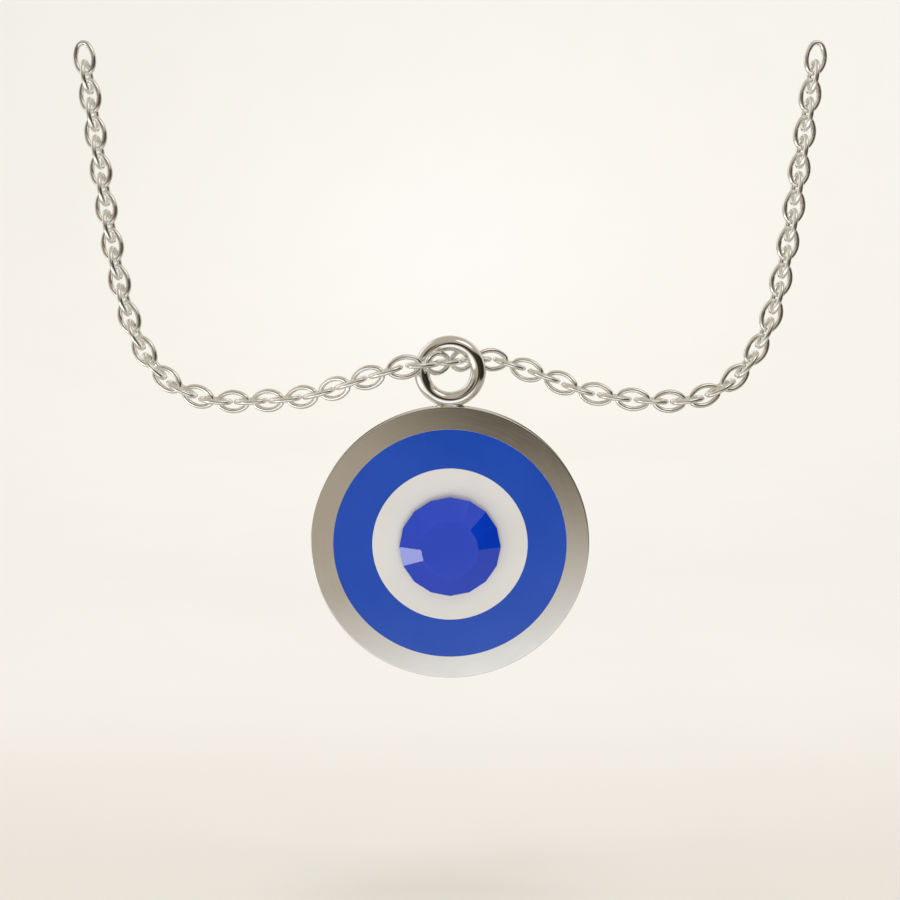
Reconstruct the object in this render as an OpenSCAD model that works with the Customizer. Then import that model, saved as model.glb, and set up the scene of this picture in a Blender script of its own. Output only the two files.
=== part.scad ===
// Evil eye pendant on an open length of cable chain, held by its two end links.
// Millimetres, +Z up, front towards -Y. The origin lies midway between the end links.
// The plate and its ring are one soldered piece. The enamels and the stone are set in
// the plate, and the chain runs through the ring from the front left to the back right.

/* [Plate] */
// Diameter of the round silver plate
plate_d = 22.1; // [20:0.1:26]
// Thickness of the plate
plate_t = 1.2; // [1:0.05:2]
// Bevel along the plate's front and back edges
plate_bevel = 0.08; // [0.04:0.02:0.2]

/* [Enamel] */
// Outer diameter of the blue enamel
blue_d = 18.45; // [16:0.05:19]
// Outer diameter of the white enamel
white_d = 12.3; // [10:0.1:15]
// Thickness of both enamels
enamel_t = 0.5; // [0.3:0.05:0.7]
// Clear gap around each piece that is set in the plate
set_gap = 0.03; // [0.02:0.01:0.06]

/* [Stone] */
// Width of the stone across the corners of its girdle
stone_d = 8; // [6.5:0.1:9]
// Width of the table across its corners
table_d = 4.5; // [3.5:0.1:5.5]
// Width of the flat back across its corners
stone_back_d = 6.9; // [6:0.1:7.5]
// Height of the girdle's lower edge above the enamel
girdle_rise = 0.62; // [0.3:0.02:1]
// Height of the straight band at the girdle
girdle_t = 0.08; // [0.04:0.02:0.2]
// Height of the crown, from the girdle to the table
crown_h = 0.95; // [0.6:0.05:1.3]
// Number of sides of the stone
stone_sides = 16; // [8:4:24]

/* [Ring] */
// Outer diameter of the ring on top of the plate
ring_d = 5.6; // [5.2:0.1:7]
// Thickness of the ring's round wire
ring_wire_d = 1.2; // [0.9:0.05:1.3]
// Depth of the solder joint, where the ring meets the plate's edge
solder_depth = 0.1; // [0.06:0.02:0.4]

/* [Chain] */
// Length of an oval link
link_l = 2.8; // [2.6:0.02:3.2]
// Width of an oval link
link_w = 1.9; // [1.7:0.05:2.1]
// Thickness of a link's wire
link_wire_d = 0.4; // [0.34:0.02:0.46]
// Radius of a link's round ends, at the middle of the wire
link_end_r = 0.55; // [0.45:0.01:0.62]
// Clear gap between a link and the next but one
link_gap = 0.12; // [0.1:0.01:0.3]
// Clear height between the chain's upright links and the top of the ring's hole
hang_gap = 0.1; // [0.05:0.05:0.4]
// Angle by which the end links face outwards
end_yaw = 8; // [0:1:20]

/* [Hidden] */

silver = [0.76, 0.74, 0.7];
blue = [0.12, 0.26, 0.64];
white = [0.9, 0.89, 0.86];
crystal = [0.16, 0.22, 0.72];

// The right half of the chain's middle line, from the ring to the end link. The left
// half mirrors it in X, with the last column's sign turned, so the two halves pass
// through the ring as one S. Columns: x, z, y, and how far this half lies further back.
route = [
  [0, -23.5, -5.7, 0],
  [1.5, -23.5, -5.7, 1.65],
  [3.8, -23.7, -5.6, 2.75],
  [7.2, -24.8, -5.4, 2.3],
  [11, -26.1, -5.1, 1.1],
  [15.5, -26.7, -4.6, 0.2],
  [19.5, -26.6, -4, 0],
  [22.8, -25, -3.2, 0],
  [25, -22, -2.5, 0],
  [26.3, -18, -2, 0],
  [27.2, -13, -1.4, 0],
  [28, -7, -0.7, 0],
  [28.9, 0, 0, 0]
];
route_steps = 12;
tangent_step = 0.3;
// Share of an upright link's half width that stands under the top of the ring's hole,
// because only its round end reaches that far
link_shoulder = 0.79;

plate_r = plate_d / 2;
recess_depth = enamel_t + set_gap;
recess_r = blue_d / 2 + set_gap;

stone_top = girdle_rise + girdle_t + crown_h;
stone_face_r = (stone_back_d + (stone_d - stone_back_d) * enamel_t / (enamel_t + girdle_rise)) / 2;
white_hole_r = stone_face_r + set_gap;

ring_r = (ring_d - ring_wire_d) / 2;
ring_hole_r = ring_d / 2 - ring_wire_d;
hang = route[0];
ring_z = hang[1] - (ring_hole_r - hang_gap - link_shoulder * link_w / 2);
plate_z = ring_z - ring_d / 2 - plate_r + solder_depth;
plate_y = hang[2] - plate_t / 2;

// A link is four arcs: two round ends, and two flatter sides that meet them smoothly
end_x = (link_l - link_wire_d) / 2;
side_y = (link_w - link_wire_d) / 2;
link_side_r = (end_x * end_x + side_y * side_y - 2 * end_x * link_end_r) / (2 * (side_y - link_end_r));
end_angle = atan2(link_side_r - side_y, end_x - link_end_r);
// The sides run this many degrees into the round ends, and are this much thinner, so
// that each joint lies inside the wire
side_overlap = 1.5;
side_step = 0.01;

function unit(v) = v / norm(v);
function blend(a, b, c, d, t) =
  ((2 * b) + (c - a) * t + (2 * a - 5 * b + 4 * c - d) * t * t + (3 * b - a - 3 * c + d) * t * t * t) / 2;

last = len(route) - 1;
route_before = [-route[1][0], route[1][1], route[1][2], -route[1][3]];
route_after = 2 * route[last] - route[last - 1];
knots = concat([route_before], route, [route_after]);
half_line = [
  for (i = [1:last], j = [0:route_steps - 1]) blend(knots[i - 1], knots[i], knots[i + 1], knots[i + 2], j / route_steps),
  route[last]
];
function side_line(side) = [for (p = half_line) [side * p[0], p[2] + side * p[3], p[1]]];
function lengths(line) =
  [for (i = 0, s = 0; i < len(line); i = i + 1, s = s + (i < len(line) ? norm(line[i] - line[i - 1]) : 0)) s];
function table(line, axis) = let (s = lengths(line)) [for (i = [0:len(line) - 1]) [s[i], line[i][axis]]];

right_line = side_line(1);
left_line = side_line(-1);
right_tables = [table(right_line, 0), table(right_line, 1), table(right_line, 2)];
left_tables = [table(left_line, 0), table(left_line, 1), table(left_line, 2)];
right_length = right_tables[0][len(right_line) - 1][0];
left_length = left_tables[0][len(left_line) - 1][0];
links_each_side = floor(min(right_length, left_length) / ((link_l + link_gap) / 2));

// Place on the chain at a signed distance from the ring, negative on the left
function place(s) = let (t = s < 0 ? left_tables : right_tables) [for (axis = [0:2]) lookup(abs(s), t[axis])];
function link_distance(k) = k * (k < 0 ? left_length : right_length) / links_each_side;

module in_plate() translate([0, plate_y, plate_z]) rotate([90, 0, 0]) children();

module plate() {
  rotate_extrude($fn = 180) polygon([
    [0, -plate_t],
    [plate_r - plate_bevel, -plate_t],
    [plate_r, plate_bevel - plate_t],
    [plate_r, -plate_bevel],
    [plate_r - plate_bevel, 0],
    [recess_r, 0],
    [recess_r, -recess_depth],
    [0, -recess_depth]
  ]);
}

module ring() {
  translate([0, hang[2], ring_z]) rotate([90, 0, 0])
    rotate_extrude($fn = 96) translate([ring_r, 0]) circle(d = ring_wire_d, $fn = 48);
}

module enamel_band(outer_r, inner_r) {
  in_plate() translate([0, 0, -enamel_t]) linear_extrude(enamel_t) difference() {
    circle(r = outer_r, $fn = 180);
    circle(r = inner_r, $fn = 180);
  }
}

// Round stone with a flat back, a straight girdle, and a crown of flat facets
module faceted_stone() {
  n = stone_sides;
  levels = [
    [stone_back_d / 2, -enamel_t],
    [stone_d / 2, girdle_rise],
    [stone_d / 2, girdle_rise + girdle_t],
    [table_d / 2, stone_top]
  ];
  top = len(levels) - 1;
  corners = [for (level = levels, i = [0:n - 1]) [level[0] * cos(360 * i / n), level[0] * sin(360 * i / n), level[1]]];
  sides = [for (l = [0:top - 1], i = [0:n - 1]) [l * n + i, (l + 1) * n + i, (l + 1) * n + (i + 1) % n, l * n + (i + 1) % n]];
  polyhedron(corners, concat([[for (i = [0:n - 1]) i]], sides, [[for (i = [n - 1:-1:0]) top * n + i]]));
}

module arc(centre, r, middle, half_span, wire_d) {
  translate(centre) rotate([0, 0, middle - half_span])
    rotate_extrude(angle = 2 * half_span, $fn = 64) translate([r, 0]) circle(d = wire_d, $fn = 24);
}

module link() {
  side_span = 90 - end_angle + side_overlap;
  side_wire_d = link_wire_d - side_step;
  for (turn = [0, 180]) rotate([0, 0, turn]) {
    arc([end_x - link_end_r, 0, 0], link_end_r, 0, end_angle, link_wire_d);
    arc([0, side_y - link_side_r, 0], link_side_r, 90, side_span, side_wire_d);
  }
}

// Link number k from the ring, with odd links facing the front and even ones edge on
module placed_link(k) {
  s = link_distance(k);
  p = place(s);
  t = unit(place(s + tangent_step) - place(s - tangent_step));
  yaw = end_yaw * p[0] / route[last][0];
  front = [sin(yaw), -cos(yaw), 0];
  n = unit(front - (front * t) * t);
  u = cross(n, t);
  multmatrix([
    [t[0], u[0], n[0], p[0]],
    [t[1], u[1], n[1], p[1]],
    [t[2], u[2], n[2], p[2]],
    [0, 0, 0, 1]
  ]) rotate([k % 2 == 0 ? 90 : 0, 0, 0]) link();
}

module pendant_frame() color(silver) {
  in_plate() plate();
  ring();
}

module blue_enamel() color(blue) enamel_band(blue_d / 2, white_d / 2 + set_gap);

module white_enamel() color(white) enamel_band(white_d / 2, white_hole_r);

module blue_stone() color(crystal) in_plate() faceted_stone();

module chain_left() color(silver) for (k = [-links_each_side:0]) placed_link(k);

module chain_right() color(silver) for (k = [1:links_each_side]) placed_link(k);

pendant_frame();
blue_enamel();
white_enamel();
blue_stone();
chain_left();
chain_right();
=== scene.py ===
import math

import bmesh
import bpy
import numpy as np
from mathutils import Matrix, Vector


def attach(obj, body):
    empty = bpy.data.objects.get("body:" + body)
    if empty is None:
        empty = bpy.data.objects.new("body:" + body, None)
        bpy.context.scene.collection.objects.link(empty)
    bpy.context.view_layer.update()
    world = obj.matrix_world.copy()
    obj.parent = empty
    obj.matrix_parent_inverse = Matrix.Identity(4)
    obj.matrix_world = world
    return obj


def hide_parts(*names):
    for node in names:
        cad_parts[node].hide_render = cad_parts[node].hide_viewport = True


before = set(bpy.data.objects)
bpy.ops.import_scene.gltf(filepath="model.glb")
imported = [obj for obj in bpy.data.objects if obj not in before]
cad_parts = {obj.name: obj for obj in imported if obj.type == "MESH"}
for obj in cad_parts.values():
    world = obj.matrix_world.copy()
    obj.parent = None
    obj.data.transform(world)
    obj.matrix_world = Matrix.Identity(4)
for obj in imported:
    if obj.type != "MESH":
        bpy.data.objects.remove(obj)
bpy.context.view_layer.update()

# Looks of an evil eye pendant on an open length of cable chain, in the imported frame:
# +Z up, front towards -Y, the origin midway between the chain's two end links. The
# pieces and the backdrop are in millimetres as in the CAD, until MM makes them metres.

MM = 0.001
RIGHT = Vector((1, 0, 0))
BACK = Vector((0, 1, 0))
UP = Vector((0, 0, 1))
FRONT = -BACK

# Plate
PLATE_CENTRE = Vector((0, -5.7, -38.0))
PLATE_R = 11.05
PLATE_T = 1.2
PLATE_EDGE = 0.08
PLATE_STEPS = 288
PLATE_FRONT = PLATE_CENTRE + FRONT * (PLATE_T / 2)
# Across the plate, up it and out of its face
PLATE_AXES = (RIGHT, UP, FRONT)

# Enamel rings, which fill their recess and all but meet where the CAD leaves a gap
SET_GAP = 0.03
BLUE_R = 9.225
WHITE_R = 6.15
ENAMEL_T = 0.5
ENAMEL_EDGE = 0.008
ENAMEL_JOIN_R = WHITE_R + SET_GAP / 2
ENAMEL_JOIN_GAP = 0.002
RECESS_R = BLUE_R + SET_GAP
RECESS_DEPTH = ENAMEL_T + SET_GAP
RECESS_EDGE = 0.01

# Stone, with heights above the enamel's face
STONE_SIDES = 16
STONE_R = 4.0
STONE_BACK_R = 3.45
TABLE_R = 2.25
GIRDLE_RISE = 0.62
GIRDLE_T = 0.08
CROWN_H = 0.95
STONE_EDGE = 0.012
STONE_EDGE_STEPS = 2
STONE_EDGE_PROFILE = 0.5
GIRDLE_TOP = GIRDLE_RISE + GIRDLE_T
STONE_FACE_R = STONE_BACK_R + (STONE_R - STONE_BACK_R) * ENAMEL_T / (ENAMEL_T + GIRDLE_RISE)
WHITE_HOLE_R = STONE_FACE_R + SET_GAP

# Ring, which reaches a little into the plate's top edge
RING_R = 2.2
RING_WIRE_R = 0.6
RING_SINK = 0.1
RING_STEPS = 192
RING_WIRE_STEPS = 64
RING_CENTRE = PLATE_CENTRE + UP * (PLATE_R + RING_WIRE_R + RING_R - RING_SINK)

# Solder: half width and half depth at its foot and top, and how fast it narrows
SOLDER_FOOT = (1.5, 0.56)
SOLDER_TOP = (1.0, 0.46)
SOLDER_NARROWING = 2.2
SOLDER_SINK = 0.03
SOLDER_STEPS = 96
SOLDER_ROWS = 10

# Links: a closed line of four arcs, with a faint soldered seam in one side
LINK_L = 2.8
LINK_W = 1.9
LINK_WIRE_R = 0.2
LINK_END_R = 0.55
LINK_END_X = LINK_L / 2 - LINK_WIRE_R
LINK_SIDE_Y = LINK_W / 2 - LINK_WIRE_R
LINK_END_STEPS = 14
LINK_SIDE_STEPS = 20
LINK_WIRE_STEPS = 16
SEAM_HEIGHT = 0.03
SEAM_WIDTH = 0.09
# Vertices of a packed link that are nearer than this are one, in metres
MERGE_DISTANCE = 0.0000002

# Rounded edges of the plate and enamel: steps, and how far beyond the rounding, as a
# share of its size, one more point keeps the shading of the flat faces flat
CORNER_STEPS = 4
CORNER_SUPPORT = 0.3

# Angles in degrees above which an edge is sharp
SHARP_ANGLE = 30
SHARP_SOLDER = 50
SHARP_STONE = 1
SHARP_LINK = 60

# Backdrop: a floor that curves up into a wall all round, under a dome
FLOOR_Z = -66
FLOOR_R = 200
SWEEP_R = 160
WALL_R = FLOOR_R + SWEEP_R
WALL_TOP = 450
FLOOR_STEPS = 8
SWEEP_STEPS = 24
DOME_STEPS = 12
BACKDROP_STEPS = 128
BACKDROP_AXES = (RIGHT, BACK, UP)

# A radius under this, in millimetres, is a point on the axis
ON_AXIS = 0.000001

# Noises: scale for a metre, detail, and roughness where it isn't 0.5
SILVER_CLOUDS = (420, 3)
SILVER_GRAIN = (9000, 4, 0.6)
HAND_MARKS = (3600, 3)
TURNED_MARKS = (14000, 3)
ENAMEL_CLOUDS = (260, 4)
ENAMEL_SPECKS = (6000, 2)
ENAMEL_PEEL = (1500, 2)
STONE_CLOUDS = (350, 2)
STONE_WEAR = (2500, 3)
PAPER_CLOUDS = (60, 3)

# Metres of noise for each radian along the turned marks
TURNED_STRETCH = 0.0004

# Weight of a noise that is added to another one, which weighs 1, or the rest of 1 in the polish
CLOUDS_IN_POLISH = 0.4
GRAIN_IN_RELIEF = 0.5
SPECKS_IN_ENAMEL = 0.25

# Range of the noise over which a tone or a roughness goes from its first value to its last
NOISE_SPREAD = (0.3, 0.7)
POLISH_SPREAD = (0.35, 0.65)
ENAMEL_SPREAD = (0.45, 0.85)
WEAR_SPREAD = (0.3, 0.8)

# Silver finishes, with the height of their relief in metres
SATIN = {
    "tones": ((0.815, 0.785, 0.73), (0.805, 0.777, 0.724)),
    "roughness": (0.10, 0.15),
    "relief": 0.0000002,
    "turned": True,
}
POLISHED = {
    "tones": ((0.87, 0.855, 0.815), (0.85, 0.835, 0.795)),
    "roughness": (0.04, 0.08),
    "relief": 0.00000015,
}
CHAIN_SILVER = {
    "tones": ((0.958, 0.945, 0.902), (0.945, 0.932, 0.89)),
    "roughness": (0.15, 0.21),
    "relief": 0.0000001,
    "metallic": 0.97,
}

# Enamel
BLUE_TONES = ((0.0060, 0.060, 0.418), (0.0072, 0.065, 0.438))
WHITE_TONES = ((0.70, 0.688, 0.66), (0.72, 0.708, 0.682))
ENAMEL_ROUGHNESS = (0.042, 0.078)
ENAMEL_IOR = 1.5
ENAMEL_RELIEF = 0.0000012

# Cut stone
STONE_TONES = ((0.0004, 0.038, 0.485), (0.0007, 0.042, 0.515))
STONE_ROUGHNESS = (0.01, 0.035)
STONE_IOR = 1.77

# Backdrop's paper: its tones, and its painted light, a glow by the distance in metres from a centre
# behind the pendant
PAPER_TONES = ((0.296, 0.292, 0.285), (0.304, 0.300, 0.293))
GLOW_CENTRE = (0, 0.33, -0.04)
GLOW = [
    (0.0, (0.71, 0.71, 0.685)),
    (0.06, (0.683, 0.672, 0.635)),
    (0.12, (0.65, 0.635, 0.59)),
    (0.18, (0.625, 0.612, 0.575)),
    (0.24, (0.575, 0.56, 0.527)),
    (0.305, (0.55, 0.526, 0.487)),
    # Painted shade: a darker band that crosses the floor just in front of the pendant
    (0.345, (0.459, 0.436, 0.378)),
    (0.45, (0.50, 0.485, 0.43)),
    (0.7, (0.60, 0.59, 0.54)),
]
GLOW_REACH = GLOW[-1][0]

# Base light of the studio, by the height of its direction
BASE_TONES = ((0.455, 0.402, 0.328), (0.51, 0.46, 0.39))
BASE_SPREAD = (0.2, 0.95)

# Studio cards: azimuth, elevation, width, height and roll in degrees, softness, light
CARDS = [
    (180, -28, 84, 36, 0, 0.5, (0.8, 0.8, 0.78)),
    (180, 27, 80, 40, 0, 0.3, (0.76, 0.73, 0.67)),
    (180, -2.5, 80, 12, 0, 0.5, (0.07, 0.06, 0.048)),
    (-118, 22, 46, 60, 0, 0.4, (1.0, 1.0, 0.98)),
    (128, 22, 40, 44, 0, 0.5, (0.74, 0.72, 0.68)),
    (42, 49, 33, 24, -8, 0.2, (1.3, 1.32, 1.31)),
    (-56, -26, 72, 28, 0, 0.22, (1.08, 1.1, 1.09)),
    (-2, -34.8, 50, 31, 16, 0.27, (1.07, 1.11, 1.17)),
    (62, 3.5, 76, 46, 0, 0.2, (0.025, 0.022, 0.018)),
    (18, 3.1, 47, 31, 0, 0.22, (0.045, 0.035, 0.02)),
    (-27, 14, 32, 26, 0, 0.4, (0.08, 0.068, 0.052)),
    (-58.8, -23.6, 17, 13, 0, 0.3, (4.0, 4.0, 3.9)),
]
# Power that rounds a card's corners, and the least depth that its mask divides by
CARD_POWER = 3.0
CARD_LEAST_DEPTH = 0.02

# Lamps: name, place and target in metres, width and height, power in watts, colour
LAMPS = [
    ("top_softbox", (0, 0.015, 0.3), (0, -0.006, -0.06), (0.11, 0.11), 0.8, (1.0, 0.985, 0.96)),
    ("front_softbox", (0.03, -0.6, -0.03), (0, 0, -0.03), (0.5, 0.5), 2.15, (1.0, 1.0, 1.0)),
]

# Camera of the photograph: place in metres, pitch down in degrees, lens in millimetres
CAMERA_PLACE = (0, -0.1027, -0.01357)
CAMERA_PITCH = 9.88
CAMERA_LENS = 50
CAMERA_SENSOR = 36
CAMERA_NEAR = 0.001
CAMERA_FAR = 10


# Node helpers

def add_node(tree, kind, inputs=None, **settings):
    """A new node with its settings, and values or links for its inputs by name or number."""
    node = tree.nodes.new(kind)
    for name, value in settings.items():
        setattr(node, name, value)
    for key, value in (inputs or {}).items():
        if isinstance(value, bpy.types.NodeSocket):
            tree.links.new(value, node.inputs[key])
        else:
            node.inputs[key].default_value = value
    return node


def maths(tree, operation, *values):
    return add_node(tree, "ShaderNodeMath", dict(enumerate(values)), operation=operation).outputs[0]


def weighted(tree, a, share_a, b, share_b=1.0):
    """The sum of two values, each times its share."""
    first = maths(tree, "MULTIPLY", a, share_a)
    second = maths(tree, "MULTIPLY", b, share_b)
    return maths(tree, "ADD", first, second)


def dot(tree, vector, constant):
    node = add_node(tree, "ShaderNodeVectorMath", {0: vector, 1: constant}, operation="DOT_PRODUCT")
    return node.outputs["Value"]


def mixed(tree, factor, a, b):
    """Colour a where the factor is 0, b where it is 1."""
    return add_node(tree, "ShaderNodeMix", {0: factor, 6: a, 7: b}, data_type="RGBA").outputs[2]


def ranged(tree, value, low, high, to_low=0.0, to_high=1.0):
    """A value that goes smoothly through a second range while it runs through the first."""
    inputs = {0: value, 1: low, 2: high, 3: to_low, 4: to_high}
    return add_node(tree, "ShaderNodeMapRange", inputs, interpolation_type="SMOOTHSTEP").outputs[0]


def noise(tree, vector, scale, detail, roughness=0.5):
    inputs = {"Vector": vector, "Scale": scale, "Detail": detail, "Roughness": roughness}
    return add_node(tree, "ShaderNodeTexNoise", inputs).outputs[0]


def colour(tone):
    return (*tone, 1.0)


def toned(tree, value, spread, tones):
    """The colour between two tones while a value runs through its spread."""
    first, last = tones
    return mixed(tree, ranged(tree, value, *spread), colour(first), colour(last))


def bumped(tree, height, distance):
    """The normals of a relief, with its full height in metres."""
    inputs = {"Height": height, "Distance": distance, "Strength": 1.0}
    return add_node(tree, "ShaderNodeBump", inputs).outputs[0]


def cleared_tree(owner):
    """The empty node tree of a material or a world."""
    owner.use_nodes = True
    owner.node_tree.nodes.clear()
    return owner.node_tree


def new_material(name):
    """A material with its empty tree, and the place on the object for its textures."""
    material = bpy.data.materials.new(name)
    tree = cleared_tree(material)
    place = add_node(tree, "ShaderNodeTexCoord").outputs["Object"]
    return material, tree, place


def add_surface(tree, inputs):
    """A principled surface as the material's output."""
    shader = add_node(tree, "ShaderNodeBsdfPrincipled", inputs)
    add_node(tree, "ShaderNodeOutputMaterial", {0: shader.outputs[0]})


# Materials

def turned_place(tree, place):
    """Coordinates round the plate's axis that hardly change along a circle."""
    centre = PLATE_CENTRE * MM
    moved = add_node(tree, "ShaderNodeVectorMath", {0: place, 1: centre}, operation="SUBTRACT")
    x, y, z = add_node(tree, "ShaderNodeSeparateXYZ", {0: moved.outputs[0]}).outputs
    squares = weighted(tree, x, x, z, z)
    radius = maths(tree, "SQRT", squares)
    along = maths(tree, "MULTIPLY", maths(tree, "ARCTAN2", z, x), TURNED_STRETCH)
    return add_node(tree, "ShaderNodeCombineXYZ", {0: radius, 1: along, 2: y}).outputs[0]


def silver_material(name, tones, roughness, relief, turned=False, metallic=1.0):
    """Bright silver: tone, polish and fine handling marks all vary a little. Turned silver
    has its finest marks in circles round the plate's axis, the other in all directions."""
    material, tree, place = new_material(name)
    clouds = noise(tree, place, *SILVER_CLOUDS)
    grain = noise(tree, place, *SILVER_GRAIN)
    if turned:
        marks = noise(tree, turned_place(tree, place), *TURNED_MARKS)
    else:
        marks = noise(tree, place, *HAND_MARKS)
    polish = weighted(tree, clouds, CLOUDS_IN_POLISH, marks, 1 - CLOUDS_IN_POLISH)
    height = weighted(tree, grain, GRAIN_IN_RELIEF, marks)
    add_surface(tree, {
        "Base Color": toned(tree, clouds, NOISE_SPREAD, tones),
        "Metallic": metallic,
        "Roughness": ranged(tree, polish, *POLISH_SPREAD, *roughness),
        "Normal": bumped(tree, height, relief),
    })
    return material


def enamel_material(name, tones):
    """Fired enamel: nearly even colour, a glassy surface with a faint orange peel."""
    material, tree, place = new_material(name)
    clouds = noise(tree, place, *ENAMEL_CLOUDS)
    specks = noise(tree, place, *ENAMEL_SPECKS)
    peel = noise(tree, place, *ENAMEL_PEEL)
    depth = weighted(tree, specks, SPECKS_IN_ENAMEL, clouds)
    add_surface(tree, {
        "Base Color": toned(tree, depth, ENAMEL_SPREAD, tones),
        "Roughness": ranged(tree, clouds, *NOISE_SPREAD, *ENAMEL_ROUGHNESS),
        "IOR": ENAMEL_IOR,
        "Normal": bumped(tree, peel, ENAMEL_RELIEF),
    })
    return material


def stone_material(name):
    """Deep blue cut stone with a high polish."""
    material, tree, place = new_material(name)
    clouds = noise(tree, place, *STONE_CLOUDS)
    wear = noise(tree, place, *STONE_WEAR)
    add_surface(tree, {
        "Base Color": toned(tree, clouds, NOISE_SPREAD, STONE_TONES),
        "Roughness": ranged(tree, wear, *WEAR_SPREAD, *STONE_ROUGHNESS),
        "IOR": STONE_IOR,
    })
    return material


# Mesh helpers

def add_object(name, data):
    made = bpy.data.objects.new(name, data)
    bpy.context.scene.collection.objects.link(made)
    return made


def make_piece(name, mesh, body, node):
    """A piece that rides a body and stands for a CAD node, which it hides."""
    piece = add_object(name, mesh)
    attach(piece, body)
    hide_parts(node)


def round_corner(corner, before, after, size):
    """Points of a rounded corner of a profile, with a supporting one on each side."""
    corner = Vector(corner)
    back, ahead = (Vector(before) - corner).normalized(), (Vector(after) - corner).normalized()
    start, end = corner + back * size, corner + ahead * size
    points = [tuple(start + back * size * CORNER_SUPPORT)]
    for i in range(CORNER_STEPS + 1):
        t = i / CORNER_STEPS
        points.append(tuple(start * (1 - t) ** 2 + corner * 2 * t * (1 - t) + end * t ** 2))
    points.append(tuple(end + ahead * size * CORNER_SUPPORT))
    return points


def add_row(bm, centre, side, up, steps):
    """A closed row of vertices round a centre, with its two half axes."""
    row = []
    for i in range(steps):
        a = 2 * math.pi * i / steps
        row.append(bm.verts.new((centre + side * math.cos(a) + up * math.sin(a)) * MM))
    return row


def turned_rows(bm, profile, centre, axes, steps):
    """A row of vertices for each (radius, height) of a profile, and one vertex for a point
    on the axis. The axes are two directions across and that of the height."""
    side, up, out = axes
    rows = []
    for radius, height in profile:
        middle = centre + out * height
        if radius < ON_AXIS:
            rows.append([bm.verts.new(middle * MM)])
        else:
            rows.append(add_row(bm, middle, side * radius, up * radius, steps))
    return rows


def join_rows(bm, rows, closed=False):
    """Faces between each row and the next, and from the last to the first if closed."""
    pairs = list(zip(rows, rows[1:]))
    if closed:
        pairs.append((rows[-1], rows[0]))
    for low, high in pairs:
        steps = max(len(low), len(high))
        for i in range(steps):
            j = (i + 1) % steps
            if len(low) == 1:
                bm.faces.new((low[0], high[j], high[i]))
            elif len(high) == 1:
                bm.faces.new((low[i], low[j], high[0]))
            else:
                bm.faces.new((low[i], low[j], high[j], high[i]))


def cap_rows(bm, rows):
    """A flat face over the first row and one over the last."""
    bm.faces.new(rows[0][::-1])
    bm.faces.new(rows[-1])


def add_tube(bm, frames, radii, steps):
    """A closed round tube through frames of (centre, side, up)."""
    rows = []
    for (centre, side, up), radius in zip(frames, radii):
        rows.append(add_row(bm, centre, side * radius, up * radius, steps))
    join_rows(bm, rows, closed=True)


def smooth_mesh(bm, name, material):
    mesh = bpy.data.meshes.new(name)
    bm.to_mesh(mesh)
    bm.free()
    mesh.shade_smooth()
    mesh.materials.append(material)
    return mesh


def closed_mesh(bm, name, material, sharp_angle=SHARP_ANGLE):
    """A smooth mesh with its faces outwards and its sharp edges kept."""
    bmesh.ops.recalc_face_normals(bm, faces=bm.faces)
    mesh = smooth_mesh(bm, name, material)
    mesh.set_sharp_from_angle(angle=math.radians(sharp_angle))
    return mesh


# Pendant's metal

def plate_profile():
    back, front = -PLATE_T, 0.0
    outer_back, outer_front = (PLATE_R, back), (PLATE_R, front)
    lip, lip_foot = (RECESS_R, front), (RECESS_R, -RECESS_DEPTH)
    points = [(0, back)]
    points += round_corner(outer_back, (0, back), outer_front, PLATE_EDGE)
    points += round_corner(outer_front, outer_back, lip, PLATE_EDGE)
    points += round_corner(lip, outer_front, lip_foot, RECESS_EDGE)
    points += [lip_foot, (0, -RECESS_DEPTH)]
    return points


def add_plate(bm):
    join_rows(bm, turned_rows(bm, plate_profile(), PLATE_FRONT, PLATE_AXES, PLATE_STEPS))


def add_ring(bm):
    frames = []
    for i in range(RING_STEPS):
        a = 2 * math.pi * i / RING_STEPS
        out = RIGHT * math.cos(a) + UP * math.sin(a)
        frames.append((RING_CENTRE + out * RING_R, out, BACK))
    add_tube(bm, frames, [RING_WIRE_R] * RING_STEPS, RING_WIRE_STEPS)


def plate_top(x):
    return PLATE_CENTRE.z + math.sqrt(PLATE_R ** 2 - x * x)


def ring_bottom(x, y):
    """Height of the ring's underside at x, and at y in front of or behind the wire's middle."""
    reach = RING_R + math.sqrt(RING_WIRE_R ** 2 - y * y)
    return RING_CENTRE.z - math.sqrt(reach ** 2 - x * x)


def solder_row(bm, half_x, half_y, share):
    """A row of the solder at a share of the way from the plate's edge up to the ring."""
    row = []
    for i in range(SOLDER_STEPS):
        a = 2 * math.pi * i / SOLDER_STEPS
        x, y = half_x * math.cos(a), half_y * math.sin(a)
        low = plate_top(x) - SOLDER_SINK
        high = ring_bottom(x, y) + SOLDER_SINK
        row.append(bm.verts.new(Vector((x, RING_CENTRE.y + y, low + (high - low) * share)) * MM))
    return row


def add_solder(bm):
    """The soldered joint: a small foot that spreads over the plate's edge and up the ring."""
    rows = []
    for k in range(SOLDER_ROWS + 1):
        share = k / SOLDER_ROWS
        spread = (1 - share) ** SOLDER_NARROWING
        half_x, half_y = (top + (foot - top) * spread for foot, top in zip(SOLDER_FOOT, SOLDER_TOP))
        rows.append(solder_row(bm, half_x, half_y, share))
    join_rows(bm, rows)
    cap_rows(bm, rows)


def metal_part(name, add_shape, material, sharp_angle=SHARP_ANGLE):
    """A closed part of the metal, before the parts become one solid."""
    bm = bmesh.new()
    add_shape(bm)
    return add_object(name, closed_mesh(bm, name, material, sharp_angle))


def united(base, *others):
    """The base object's mesh with the others joined to it as one solid, each in its finish."""
    for other in others:
        modifier = base.modifiers.new("join", "BOOLEAN")
        modifier.operation = "UNION"
        modifier.solver = "EXACT"
        modifier.material_mode = "TRANSFER"
        modifier.object = other
    graph = bpy.context.evaluated_depsgraph_get()
    mesh = bpy.data.meshes.new_from_object(base.evaluated_get(graph))
    for made in (base, *others):
        bpy.data.objects.remove(made)
    return mesh


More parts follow.
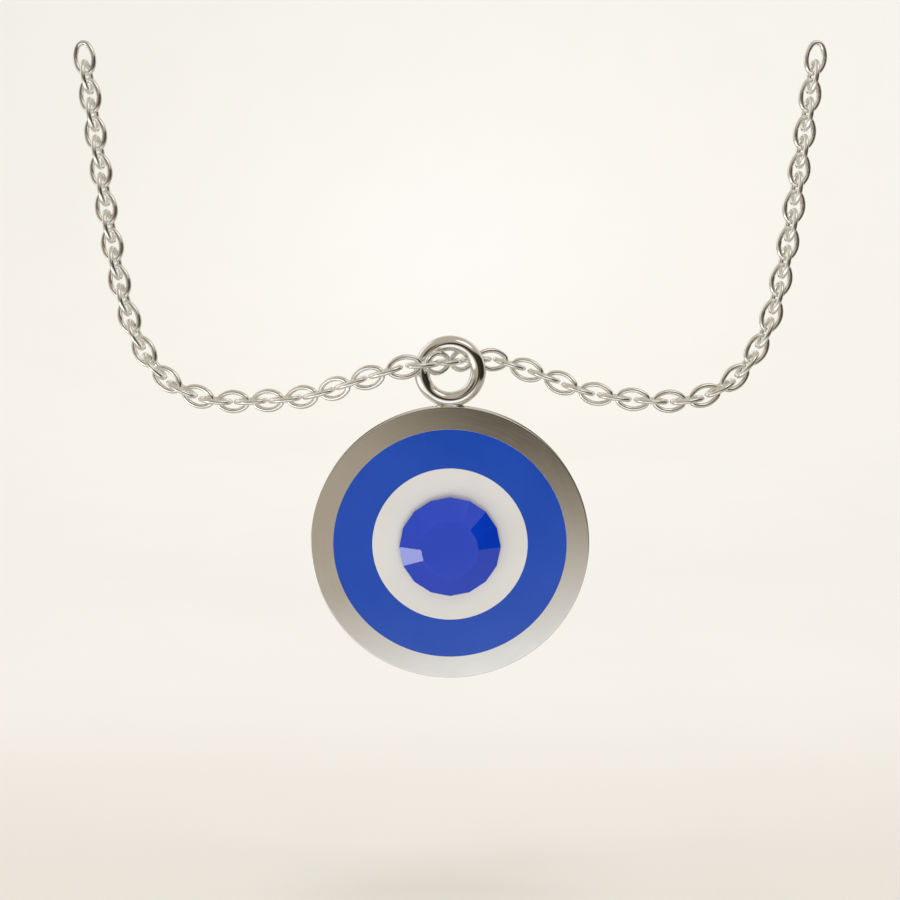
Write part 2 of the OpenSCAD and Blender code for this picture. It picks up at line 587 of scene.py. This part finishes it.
def build_metal(satin, polished):
    """Plate, ring and solder as one solid."""
    plate = metal_part("plate_part", add_plate, satin)
    ring = metal_part("ring_part", add_ring, polished)
    solder = metal_part("solder_part", add_solder, polished, SHARP_SOLDER)
    mesh = united(plate, ring, solder)
    mesh.name = "pendant_metal"
    make_piece("pendant_metal", mesh, "pendant", "pendant_frame")


# Enamels and stone

def band_profile(outer, inner):
    foot, face = -ENAMEL_T, 0.0
    points = [(outer, foot)]
    points += round_corner((outer, face), (outer, foot), (inner, face), ENAMEL_EDGE)
    points += round_corner((inner, face), (outer, face), (inner, foot), ENAMEL_EDGE)
    points.append((inner, foot))
    return points


def build_band(name, outer, inner, node, material):
    """A flat ring of enamel, set flush in the plate."""
    bm = bmesh.new()
    rows = turned_rows(bm, band_profile(outer, inner), PLATE_FRONT, PLATE_AXES, PLATE_STEPS)
    join_rows(bm, rows, closed=True)
    make_piece(name, closed_mesh(bm, name, material), "pendant", node)


def build_stone(material):
    """Flat back, straight girdle, flat crown facets and table, with fine worn edges."""
    levels = [
        (STONE_BACK_R, -ENAMEL_T),
        (STONE_R, GIRDLE_RISE),
        (STONE_R, GIRDLE_TOP),
        (TABLE_R, GIRDLE_TOP + CROWN_H),
    ]
    bm = bmesh.new()
    rows = turned_rows(bm, levels, PLATE_FRONT, PLATE_AXES, STONE_SIDES)
    join_rows(bm, rows)
    cap_rows(bm, rows)
    bmesh.ops.bevel(
        bm, geom=bm.edges[:], affect="EDGES",
        offset=STONE_EDGE * MM, segments=STONE_EDGE_STEPS, profile=STONE_EDGE_PROFILE,
    )
    mesh = closed_mesh(bm, "stone", material, SHARP_STONE)
    make_piece("stone", mesh, "pendant", "blue_stone")


# Chain

def link_line():
    """Points of a link's middle line with their outward directions, in the link's own plane."""
    end_c = LINK_END_X - LINK_END_R
    squares = LINK_END_X ** 2 + LINK_SIDE_Y ** 2 - 2 * LINK_END_X * LINK_END_R
    side_r = squares / (2 * (LINK_SIDE_Y - LINK_END_R))
    turn = math.atan2(side_r - LINK_SIDE_Y, end_c)
    arcs = [
        ((end_c, 0), LINK_END_R, -turn, turn, LINK_END_STEPS),
        ((0, LINK_SIDE_Y - side_r), side_r, turn, math.pi - turn, LINK_SIDE_STEPS),
        ((-end_c, 0), LINK_END_R, math.pi - turn, math.pi + turn, LINK_END_STEPS),
        ((0, side_r - LINK_SIDE_Y), side_r, math.pi + turn, 2 * math.pi - turn, LINK_SIDE_STEPS),
    ]
    line = []
    for (centre_x, centre_y), r, start, end, steps in arcs:
        for i in range(steps):
            a = start + (end - start) * i / steps
            out_x, out_y = math.cos(a), math.sin(a)
            line.append((centre_x + r * out_x, centre_y + r * out_y, out_x, out_y))
    return line


def loose_solids(bm):
    """The faces of each solid that touches no other."""
    seen = set()
    solids = []
    for first in bm.faces:
        if first.index in seen:
            continue
        seen.add(first.index)
        heap, members = [first], []
        while heap:
            face = heap.pop()
            members.append(face)
            for edge in face.edges:
                for other in edge.link_faces:
                    if other.index not in seen:
                        seen.add(other.index)
                        heap.append(other)
        solids.append(members)
    return solids


def link_frame(faces):
    """Centre and axes (length, width, thickness) of a link, from how its surface spreads."""
    areas = np.array([face.calc_area() for face in faces])
    middles = np.array([face.calc_center_median() for face in faces])
    centre = (middles * areas[:, None]).sum(0) / areas.sum()
    offsets = middles - centre
    spread = (offsets * areas[:, None]).T @ offsets
    axes = np.linalg.eigh(spread)[1].T[::-1]
    return (Vector(centre), *(Vector(axis) for axis in axes))


def link_frames(node):
    """The frames of the links of a packed chain node, from left to right."""
    bm = bmesh.new()
    bm.from_mesh(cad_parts[node].data)
    bmesh.ops.remove_doubles(bm, verts=bm.verts, dist=MERGE_DISTANCE)
    bm.faces.ensure_lookup_table()
    frames = [link_frame(faces) for faces in loose_solids(bm)]
    bm.free()
    frames.sort(key=lambda link: link[0].x)
    return frames


def build_chain(name, node, material):
    """Half of the chain: a tube for each packed link, a little thicker at its seam."""
    line = link_line()
    bm = bmesh.new()
    for centre, along, across, thick in link_frames(node):
        frames, radii = [], []
        for x, y, out_x, out_y in line:
            place = centre / MM + along * x + across * y
            frames.append((place, along * out_x + across * out_y, thick))
            gap = math.hypot(x, y - LINK_SIDE_Y)
            radii.append(LINK_WIRE_R * (1 + SEAM_HEIGHT * math.exp(-(gap / SEAM_WIDTH) ** 2)))
        add_tube(bm, frames, radii, LINK_WIRE_STEPS)
    make_piece(name, closed_mesh(bm, name, material, SHARP_LINK), "chain", node)


# World and lamps

def card_axes(azimuth, elevation, roll):
    """Forward, right and up of a card seen from the object. Azimuth 0 is the front, 90 the right."""
    a, e, t = (math.radians(angle) for angle in (azimuth, elevation, roll))
    forward = Vector((math.sin(a) * math.cos(e), -math.cos(a) * math.cos(e), math.sin(e)))
    right = Vector((math.cos(a), math.sin(a), 0))
    up = forward.cross(right)
    turned_right = right * math.cos(t) + up * math.sin(t)
    turned_up = up * math.cos(t) - right * math.sin(t)
    return forward, turned_right, turned_up


def card_mask(tree, direction, azimuth, elevation, width, height, roll, soft):
    """How much a soft card covers a direction, from 0 to 1."""
    forward, right, up = card_axes(azimuth, elevation, roll)
    depth = maths(tree, "MAXIMUM", dot(tree, direction, forward), CARD_LEAST_DEPTH)
    powers = []
    for axis, span in ((right, width), (up, height)):
        offset = dot(tree, direction, axis / math.tan(math.radians(span / 2)))
        share = maths(tree, "ABSOLUTE", maths(tree, "DIVIDE", offset, depth))
        powers.append(maths(tree, "POWER", share, CARD_POWER))
    reach = maths(tree, "POWER", maths(tree, "ADD", *powers), 1 / CARD_POWER)
    return ranged(tree, reach, 1 + soft, 1 - soft)


def build_world():
    """The studio that the silver mirrors: soft cards over an even base light."""
    world = bpy.data.worlds.new("studio")
    bpy.context.scene.world = world
    tree = cleared_tree(world)
    direction = add_node(tree, "ShaderNodeTexCoord").outputs["Generated"]
    light = toned(tree, dot(tree, direction, UP), BASE_SPREAD, BASE_TONES)
    for *card, tone in CARDS:
        light = mixed(tree, card_mask(tree, direction, *card), light, colour(tone))
    background = add_node(tree, "ShaderNodeBackground", {"Color": light, "Strength": 1.0})
    add_node(tree, "ShaderNodeOutputWorld", {0: background.outputs[0]})


def add_area_light(name, place, target, size, power, tone):
    """A lamp that lights the pieces without a mirror image of its own."""
    light = bpy.data.lights.new(name, "AREA")
    light.shape = "RECTANGLE"
    light.size, light.size_y = size
    light.energy = power
    light.color = tone
    lamp = add_object(name, light)
    lamp.location = place
    lamp.rotation_euler = (Vector(target) - Vector(place)).to_track_quat("-Z", "Y").to_euler()
    lamp.visible_glossy = False
    lamp.visible_camera = False


# Backdrop and camera

def painted_glow_tone(tree, place):
    """The paper's painted light at a place: a glow brightest behind the pendant, with painted shade in
    a band across the floor in front of it.
    """
    away = add_node(tree, "ShaderNodeVectorMath", {0: place, 1: GLOW_CENTRE}, operation="DISTANCE")
    share = maths(tree, "DIVIDE", away.outputs["Value"], GLOW_REACH)
    ramp = add_node(tree, "ShaderNodeValToRGB", {0: share})
    ramp.color_ramp.interpolation = "CARDINAL"
    stops = ramp.color_ramp.elements
    while len(stops) < len(GLOW):
        stops.new(1.0)
    for stop, (distance, tone) in zip(stops, GLOW):
        stop.position = distance / GLOW_REACH
        stop.color = colour(tone)
    return ramp.outputs[0]


def backdrop_material():
    """Paper that glows softly behind the pendant, a painted light with painted shade on the floor in
    front of it, and is clear from its back.
    """
    material, tree, place = new_material("backdrop_paper")
    paper = toned(tree, noise(tree, place, *PAPER_CLOUDS), NOISE_SPREAD, PAPER_TONES)
    diffuse = add_node(tree, "ShaderNodeBsdfDiffuse", {"Color": paper})
    emission = add_node(tree, "ShaderNodeEmission", {"Color": painted_glow_tone(tree, place)})
    total = add_node(tree, "ShaderNodeAddShader", {0: diffuse.outputs[0], 1: emission.outputs[0]})
    clear = add_node(tree, "ShaderNodeBsdfTransparent")
    facing = add_node(tree, "ShaderNodeNewGeometry").outputs["Backfacing"]
    shown = add_node(tree, "ShaderNodeMixShader", {0: facing, 1: total.outputs[0], 2: clear.outputs[0]})
    add_node(tree, "ShaderNodeOutputMaterial", {0: shown.outputs[0]})
    return material


def quarter_arc(centre, radius, start, steps):
    """Points of a quarter turn of a profile beyond its first, from an angle in degrees."""
    points = []
    for i in range(1, steps + 1):
        a = math.radians(start + 90 * i / steps)
        points.append((centre[0] + radius * math.cos(a), centre[1] + radius * math.sin(a)))
    return points


def backdrop_profile():
    points = [(FLOOR_R * i / FLOOR_STEPS, FLOOR_Z) for i in range(FLOOR_STEPS + 1)]
    points += quarter_arc((FLOOR_R, FLOOR_Z + SWEEP_R), SWEEP_R, -90, SWEEP_STEPS)
    points.append((WALL_R, WALL_TOP))
    points += quarter_arc((0, WALL_TOP), WALL_R, 0, DOME_STEPS)
    return points


def build_backdrop():
    """The backdrop, with its faces inwards and seen by nothing but the camera."""
    bm = bmesh.new()
    rows = turned_rows(bm, backdrop_profile(), Vector(), BACKDROP_AXES, BACKDROP_STEPS)
    join_rows(bm, rows[::-1])
    backdrop = add_object("backdrop", smooth_mesh(bm, "backdrop", backdrop_material()))
    backdrop.visible_diffuse = False
    backdrop.visible_glossy = False
    backdrop.visible_transmission = False
    backdrop.visible_shadow = False


def build_camera():
    data = bpy.data.cameras.new("camera")
    data.lens = CAMERA_LENS
    data.sensor_width = CAMERA_SENSOR
    data.clip_start = CAMERA_NEAR
    data.clip_end = CAMERA_FAR
    camera = add_object("camera", data)
    camera.location = CAMERA_PLACE
    camera.rotation_euler = (math.radians(90 - CAMERA_PITCH), 0, 0)
    bpy.context.scene.camera = camera


# Scene

def main():
    scene = bpy.context.scene
    scene.view_settings.view_transform = "Standard"
    scene.view_settings.look = "None"
    build_camera()
    build_world()
    for lamp in LAMPS:
        add_area_light(*lamp)
    build_backdrop()
    satin = silver_material("satin_silver", **SATIN)
    polished = silver_material("polished_silver", **POLISHED)
    bright = silver_material("chain_silver_bright", **CHAIN_SILVER)
    blue = enamel_material("blue_enamel_glaze", BLUE_TONES)
    white = enamel_material("white_enamel_glaze", WHITE_TONES)
    blue_hole_r = ENAMEL_JOIN_R + ENAMEL_JOIN_GAP
    white_outer_r = ENAMEL_JOIN_R - ENAMEL_JOIN_GAP
    build_metal(satin, polished)
    build_band("blue_ring", RECESS_R, blue_hole_r, "blue_enamel", blue)
    build_band("white_ring", white_outer_r, WHITE_HOLE_R, "white_enamel", white)
    build_stone(stone_material("blue_stone_cut"))
    build_chain("chain_links_left", "chain_left", bright)
    build_chain("chain_links_right", "chain_right", bright)


main()
